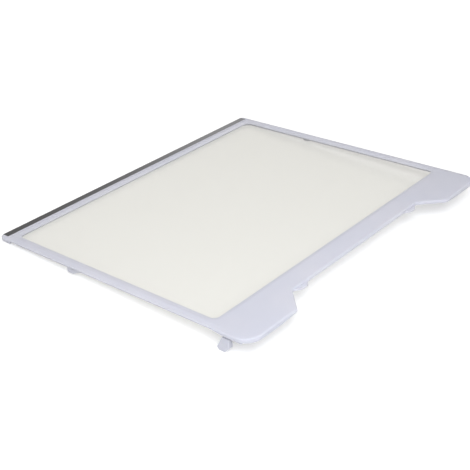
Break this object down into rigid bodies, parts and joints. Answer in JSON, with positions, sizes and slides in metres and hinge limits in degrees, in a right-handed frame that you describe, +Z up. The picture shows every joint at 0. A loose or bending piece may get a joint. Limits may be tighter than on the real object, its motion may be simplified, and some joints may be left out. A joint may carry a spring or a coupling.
{
  "type": "refrigerator shelf",
  "caption": "Framed glass refrigerator shelf: a clear pane in a pale moulded frame with a dark front trim, rear ears either side of a recess, and hooks under its side rails.",
  "frame": {"origin": "under the middle of the shelf, level with the feet of the rear hooks", "axes": "+X across the compartment to the right as seen from its door, +Y from the door to the back wall, +Z up, with the glass level"},
  "size_m": [0.47, 0.405, 0.0265],
  "materials": {
    "frame_plastic": "satin lavender-white moulding with a fine grain",
    "clear_glass": "clear toughened float glass with ground edges",
    "trim_metal": "dark grey anodised, brushed along its length"
  },
  "bodies": {
    "root": {"frame": "frame_plastic", "glass_panel": "clear_glass", "front_trim": "trim_metal"}
  },
  "joints": []
}
